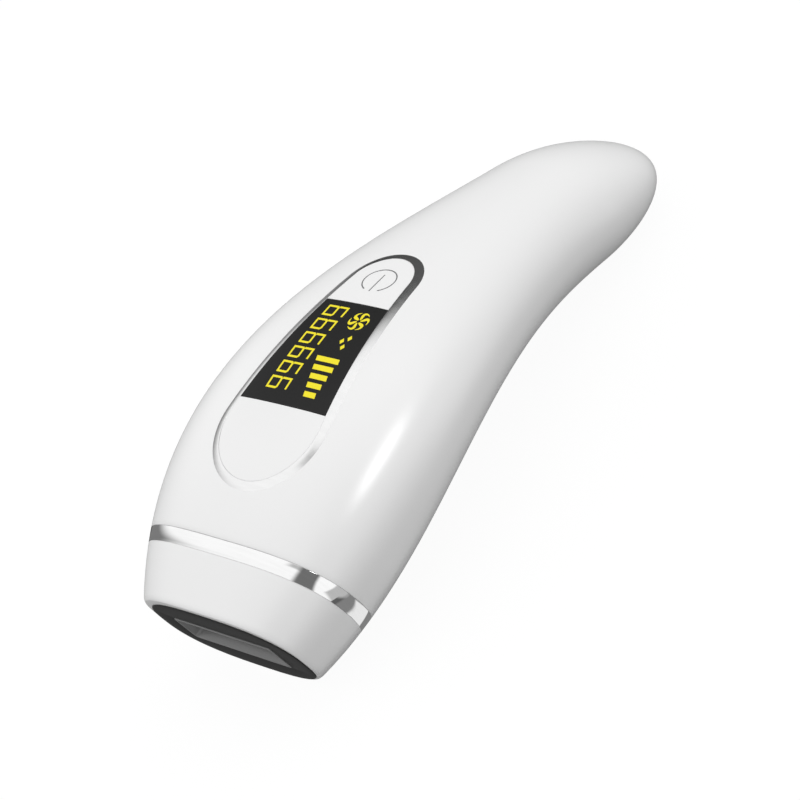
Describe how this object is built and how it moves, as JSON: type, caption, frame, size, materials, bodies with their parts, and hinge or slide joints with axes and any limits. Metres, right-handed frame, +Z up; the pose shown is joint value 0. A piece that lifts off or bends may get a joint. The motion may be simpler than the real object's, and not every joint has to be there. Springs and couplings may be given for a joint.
{
  "type": "ipl hair remover",
  "caption": "Curved hand-held IPL hair remover with a pull-off lamp cartridge, a recessed light window and a raised panel with a display and two keys.",
  "frame": {"origin": "centre of the bounding box's bottom face, where the handset rests on its head and its tail", "axes": "+Z up out of the control panel, +Y from the treatment face towards the tail, +X across the handset"},
  "size_m": [0.0782, 0.1851, 0.0515],
  "materials": {
    "white_plastic": "satin",
    "dark_plastic": "matt",
    "grey_plastic": "matt",
    "lip_grey": "satin",
    "chrome_ring": "mirror",
    "silver_bezel": "satin",
    "display_glass": "gloss",
    "window_glass": "gloss",
    "filter_glass": "gloss",
    "lamp_glass": "gloss",
    "steel": "satin",
    "aluminium": "satin",
    "brass": "satin",
    "copper": "satin",
    "circuit_board": "satin",
    "ferrite": "matt",
    "chip": "matt",
    "capacitor_sleeve": "gloss",
    "red_wire": "satin",
    "black_wire": "satin"
  },
  "bodies": {
    "handset": {"main_casing": "white_plastic", "belly_cover": "white_plastic", "cartridge_socket": "dark_plastic", "fan_frame": "dark_plastic", "dc_inlet": "dark_plastic", "flash_switch": "dark_plastic", "power_switch": "dark_plastic", "display_module": "dark_plastic", "power_transistor": "dark_plastic", "head_ring": "chrome_ring", "panel_bezel": "silver_bezel", "display_window": "display_glass", "casing_screw_1": "steel", "casing_screw_2": "steel", "casing_screw_3": "steel", "casing_screw_4": "steel", "fan_screw_1": "steel", "fan_screw_2": "steel", "board_screw_1": "steel", "board_screw_2": "steel", "dc_pin": "steel", "heat_sink": "aluminium", "fan_motor": "copper", "transformer_winding": "copper", "trigger_coil": "copper", "display_board": "circuit_board", "main_board": "circuit_board", "transformer_core": "ferrite", "control_chip": "chip", "storage_capacitor": "capacitor_sleeve"},
    "lamp_cartridge": {"head_cover": "white_plastic", "contact_frame": "dark_plastic", "window_lip": "lip_grey", "light_window": "window_glass", "optical_filter": "filter_glass", "skin_sensor_board": "circuit_board", "reflector": "aluminium", "flash_lamp": "lamp_glass", "cartridge_base": "dark_plastic", "lamp_cap_left": "steel", "lamp_cap_right": "steel", "lamp_lead_left": "black_wire", "lamp_lead_right": "red_wire", "cartridge_screw_left": "steel", "cartridge_screw_right": "steel", "contact_pin_left": "brass", "contact_pin_middle": "brass", "contact_pin_right": "brass"},
    "flash_key": {"flash_button": "white_plastic", "flash_switch_plunger": "grey_plastic"},
    "power_key": {"power_button": "white_plastic", "power_switch_plunger": "grey_plastic"},
    "fan": {"fan_impeller": "grey_plastic"}
  },
  "joints": [
    {"name": "cartridge_slide", "type": "slide", "parent": "handset", "child": "lamp_cartridge", "axis": [0, -0.9794, -0.202], "range_m": [0, 0.03]},
    {"name": "flash_key_press", "type": "slide", "parent": "handset", "child": "flash_key", "axis": [0, 0.097, -0.9953], "range_m": [0, 0.0007], "stiffness_N_per_m": 400, "springref_m": -0.0008},
    {"name": "power_key_press", "type": "slide", "parent": "handset", "child": "power_key", "axis": [0, 0.097, -0.9953], "range_m": [0, 0.0007], "stiffness_N_per_m": 300, "springref_m": -0.0008},
    {"name": "fan_spin", "type": "hinge", "parent": "handset", "child": "fan", "pos_m": [0, -0.03448, 0.03148], "axis": [0, -0.1485, 0.9889], "continuous": true}
  ]
}
